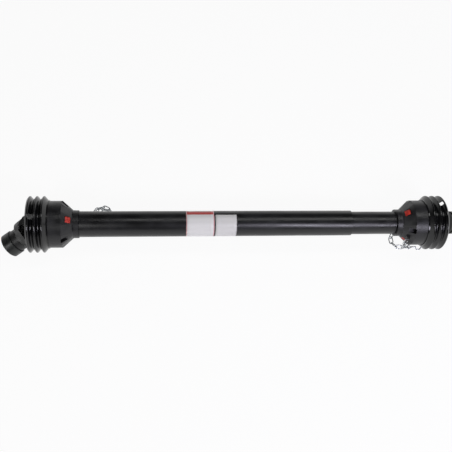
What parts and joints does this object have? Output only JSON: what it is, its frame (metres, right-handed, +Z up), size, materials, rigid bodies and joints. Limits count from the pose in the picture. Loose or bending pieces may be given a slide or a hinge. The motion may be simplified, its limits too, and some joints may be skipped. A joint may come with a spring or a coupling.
{
  "type": "pto drive shaft",
  "caption": "Telescopic drive shaft with a universal joint and splined yoke at each end, inside a black plastic guard with ribbed end rings and safety chains.",
  "frame": {"origin": "on the shaft's axis, at the middle of the outer guard tube", "axes": "+X along the shaft toward the end with the narrower guard tube, +Z up, with the shaft lying on the floor"},
  "size_m": [1.2259, 0.1475, 0.144],
  "materials": {
    "guard_tube_plastic": "satin extruded plastic",
    "guard_cone_plastic": "satin moulded plastic",
    "ribbed_ring_plastic": "glossy soft plastic",
    "red_nylon": "satin moulded nylon",
    "profile_tube_steel": "drawn and oiled",
    "painted_forging": "satin paint on a forging",
    "pin_steel": "blued",
    "ground_steel": "ground",
    "zinc_plating": "zinc plated",
    "spring_steel": "blackened",
    "lock_collar_steel": "satin black coating",
    "chain_zinc": "bright zinc plated"
  },
  "bodies": {
    "outer_guard": {"outer_guard_tube": "guard_tube_plastic", "left_guard_cone": "guard_cone_plastic", "left_ribbed_ring": "ribbed_ring_plastic", "left_bearing_ring": "red_nylon", "left_chain": "chain_zinc", "left_chain_hook": "chain_zinc"},
    "outer_drive": {"left_inner_yoke": "painted_forging", "outer_profile_tube": "profile_tube_steel", "left_roll_pin": "pin_steel", "left_inner_cups": "ground_steel", "left_inner_circlips": "spring_steel"},
    "inner_drive": {"right_inner_yoke": "painted_forging", "inner_profile_tube": "profile_tube_steel", "right_roll_pin": "pin_steel", "right_inner_cups": "ground_steel", "right_inner_circlips": "spring_steel"},
    "inner_guard": {"inner_guard_tube": "guard_tube_plastic", "right_guard_cone": "guard_cone_plastic", "right_ribbed_ring": "ribbed_ring_plastic", "right_bearing_ring": "red_nylon", "right_chain": "chain_zinc", "right_chain_hook": "chain_zinc"},
    "left_cross": {"left_cross": "ground_steel", "left_grease_nipple": "zinc_plating"},
    "left_end_yoke": {"left_end_yoke": "painted_forging", "left_outer_cups": "ground_steel", "left_outer_circlips": "spring_steel", "left_snap_ring": "spring_steel", "left_lock_balls": "ground_steel", "left_lock_spring": "spring_steel"},
    "left_lock_collar": {"left_lock_collar": "lock_collar_steel"},
    "right_cross": {"right_cross": "ground_steel", "right_grease_nipple": "zinc_plating"},
    "right_end_yoke": {"right_end_yoke": "painted_forging", "right_outer_cups": "ground_steel", "right_outer_circlips": "spring_steel", "right_snap_ring": "spring_steel", "right_lock_balls": "ground_steel", "right_lock_spring": "spring_steel"},
    "right_lock_collar": {"right_lock_collar": "lock_collar_steel"}
  },
  "joints": [
    {"name": "outer_drive_spin", "type": "hinge", "parent": "outer_guard", "child": "outer_drive", "pos_m": [0, 0, 0], "axis": [1, 0, 0], "continuous": true},
    {"name": "telescope", "type": "slide", "parent": "outer_drive", "child": "inner_drive", "axis": [1, 0, 0], "range_m": [-0.1, 0.3]},
    {"name": "inner_guard_spin", "type": "hinge", "parent": "inner_drive", "child": "inner_guard", "pos_m": [0.48, 0, 0], "axis": [1, 0, 0], "continuous": true},
    {"name": "left_cross_swing", "type": "hinge", "parent": "outer_drive", "child": "left_cross", "pos_m": [-0.4445, 0, 0], "axis": [0, -0.4067, 0.9135], "range_deg": [-68, 0]},
    {"name": "left_yoke_swing", "type": "hinge", "parent": "left_cross", "child": "left_end_yoke", "pos_m": [-0.4445, 0, 0], "axis": [0.5592, -0.7574, -0.3372], "range_deg": [-25, 1]},
    {"name": "right_cross_swing", "type": "hinge", "parent": "inner_drive", "child": "right_cross", "pos_m": [0.5772, 0, 0], "axis": [0, -0.4067, 0.9135], "range_deg": [-25, 25]},
    {"name": "right_yoke_swing", "type": "hinge", "parent": "right_cross", "child": "right_end_yoke", "pos_m": [0.5772, 0, 0], "axis": [0, 0.9135, 0.4067], "range_deg": [-57, 0.5]},
    {"name": "left_lock_slide", "type": "slide", "parent": "left_end_yoke", "child": "left_lock_collar", "axis": [0.8059, 0.4011, 0.4356], "range_m": [0, 0.004], "stiffness_N_per_m": 1500, "springref_m": -0.004, "deforming": ["left_lock_spring"]},
    {"name": "right_lock_slide", "type": "slide", "parent": "right_end_yoke", "child": "right_lock_collar", "axis": [-0.879, -0.1939, 0.4356], "range_m": [0, 0.004], "stiffness_N_per_m": 1500, "springref_m": -0.004, "deforming": ["right_lock_spring"]}
  ]
}
